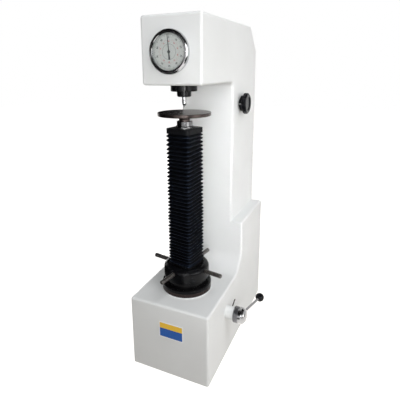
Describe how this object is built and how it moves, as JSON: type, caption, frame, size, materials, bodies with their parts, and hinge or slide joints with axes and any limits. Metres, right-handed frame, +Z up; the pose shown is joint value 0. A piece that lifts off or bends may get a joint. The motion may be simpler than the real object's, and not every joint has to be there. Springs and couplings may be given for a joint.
{
  "type": "bench hardness tester",
  "caption": "Tall bench hardness tester: C-frame, dial gauge, indenter spindle, anvil on a capstan-raised screw with bellows, dead-weight lever, load selector and loading handle.",
  "frame": {"origin": "on the common axis of the elevating screw and the indenter spindle, in the plane of the base's underside", "axes": "+Z up along the screw, -Y out of the front of the machine, +X towards the operator's right, where the loading handle and the load selector are"},
  "size_m": [0.332, 0.5474, 1.025],
  "materials": {
    "white_paint": "satin",
    "black_paint": "satin",
    "blackened_steel": "satin",
    "bright_steel": "satin",
    "ground_steel": "polished",
    "chrome": "polished",
    "cast_iron": "rough",
    "brass": "satin",
    "aluminium": "satin",
    "bellows_cloth": "satin",
    "gloss_black": "gloss",
    "matte_black": "matte",
    "dial_white": "matte",
    "pointer_black": "satin",
    "glass": "clear"
  },
  "bodies": {
    "frame": {"main_frame": "white_paint", "top_cover": "white_paint", "top_cover_screws": "bright_steel", "rear_cover": "white_paint", "rear_cover_screws": "bright_steel", "base_ring": "blackened_steel", "thrust_race_lower": "ground_steel", "thrust_balls": "ground_steel", "screw_sleeve": "cast_iron", "guide_key": "ground_steel", "bellows_base_frame": "matte_black", "bellows": "bellows_cloth", "spindle_guide": "black_paint", "guide_lock_nut": "blackened_steel", "fulcrum_bracket": "cast_iron", "fulcrum_seat": "ground_steel", "dial_case": "aluminium", "dashpot_bracket": "cast_iron", "dashpot_cylinder": "bright_steel", "dashpot_lid": "aluminium", "handle_boss": "white_paint", "stop_pin": "bright_steel", "cam_bracket": "cast_iron", "selector_bush": "bright_steel"},
    "capstan": {"capstan_wheel": "black_paint", "lifting_nut": "brass", "capstan_lock_ring": "blackened_steel", "capstan_spokes": "blackened_steel", "thrust_race_upper": "ground_steel"},
    "screw": {"elevating_screw": "bright_steel", "screw_head": "bright_steel", "anvil": "ground_steel", "bellows_cap": "matte_black"},
    "spindle_group": {"spindle": "ground_steel", "indenter": "ground_steel", "indenter_lock_screw": "blackened_steel", "indicator_arm": "bright_steel", "indicator_plunger": "ground_steel"},
    "lever": {"main_lever": "cast_iron", "knife_edges": "ground_steel"},
    "weight_group": {"weight_hanger": "bright_steel", "weights": "cast_iron", "dashpot_piston": "bright_steel"},
    "dial_ring": {"dial_bezel": "chrome", "dial_glass": "glass", "dial_face": "dial_white"},
    "pointer_group": {"pointer": "pointer_black", "pointer_shaft": "brass"},
    "load_handle": {"handle_shaft": "bright_steel", "hub_collar": "chrome", "hub_nose": "chrome", "handle_rod": "chrome", "handle_ball": "gloss_black", "crank_arm": "cast_iron"},
    "link": {"drag_link": "bright_steel"},
    "cam": {"cam_shaft": "bright_steel", "lift_cam": "ground_steel"},
    "selector": {"selector_shaft": "bright_steel", "selector_skirt": "matte_black", "selector_knob": "gloss_black"}
  },
  "joints": [
    {"name": "capstan_turn", "type": "hinge", "parent": "frame", "child": "capstan", "pos_m": [0, 0, 0.29], "axis": [0, 0, -1], "range_deg": [-19200, 870]},
    {"name": "screw_lift", "type": "slide", "parent": "frame", "child": "screw", "axis": [0, 0, 1], "range_m": [-0.3201, 0.0146], "deforming": ["bellows"]},
    {"name": "lever_tilt", "type": "hinge", "parent": "frame", "child": "lever", "pos_m": [0, -0.018, 0.9724], "axis": [1, 0, 0], "range_deg": [0, 2.06]},
    {"name": "spindle_lift", "type": "slide", "parent": "frame", "child": "spindle_group", "axis": [0, 0, 1], "range_m": [0, 0.00065]},
    {"name": "weights_lift", "type": "slide", "parent": "frame", "child": "weight_group", "axis": [0, 0, 1], "range_m": [0, 0.013]},
    {"name": "pointer_turn", "type": "hinge", "parent": "frame", "child": "pointer_group", "pos_m": [0, -0.087, 0.9315], "axis": [0, 1, 0], "range_deg": [0, 1170]},
    {"name": "dial_ring_turn", "type": "hinge", "parent": "frame", "child": "dial_ring", "pos_m": [0, -0.087, 0.9315], "axis": [0, 1, 0], "continuous": true},
    {"name": "load_handle_turn", "type": "hinge", "parent": "frame", "child": "load_handle", "pos_m": [0.13, 0.021, 0.1515], "axis": [1, 0, 0], "range_deg": [0, 95]},
    {"name": "drag_link_swing", "type": "hinge", "parent": "load_handle", "child": "link", "pos_m": [0.064, 0.00093, 0.12283], "axis": [1, 0, 0], "range_deg": [-95, 0]},
    {"name": "cam_turn", "type": "hinge", "parent": "frame", "child": "cam", "pos_m": [0.06, 0.33, 0.25], "axis": [1, 0, 0], "range_deg": [0, 95]},
    {"name": "selector_turn", "type": "hinge", "parent": "frame", "child": "selector", "pos_m": [0.1, 0.235, 0.7785], "axis": [1, 0, 0], "range_deg": [0, 240]}
  ],
  "couplings": [
    {"joint": "screw_lift", "follows": "capstan_turn", "m_per_rad": 0.00095493},
    {"joint": "spindle_lift", "follows": "lever_tilt", "m_per_rad": 0.018},
    {"joint": "weights_lift", "follows": "lever_tilt", "m_per_rad": 0.36},
    {"joint": "pointer_turn", "follows": "lever_tilt", "ratio": 565.49},
    {"joint": "drag_link_swing", "follows": "load_handle_turn", "ratio": -1},
    {"joint": "cam_turn", "follows": "load_handle_turn", "ratio": 1}
  ]
}
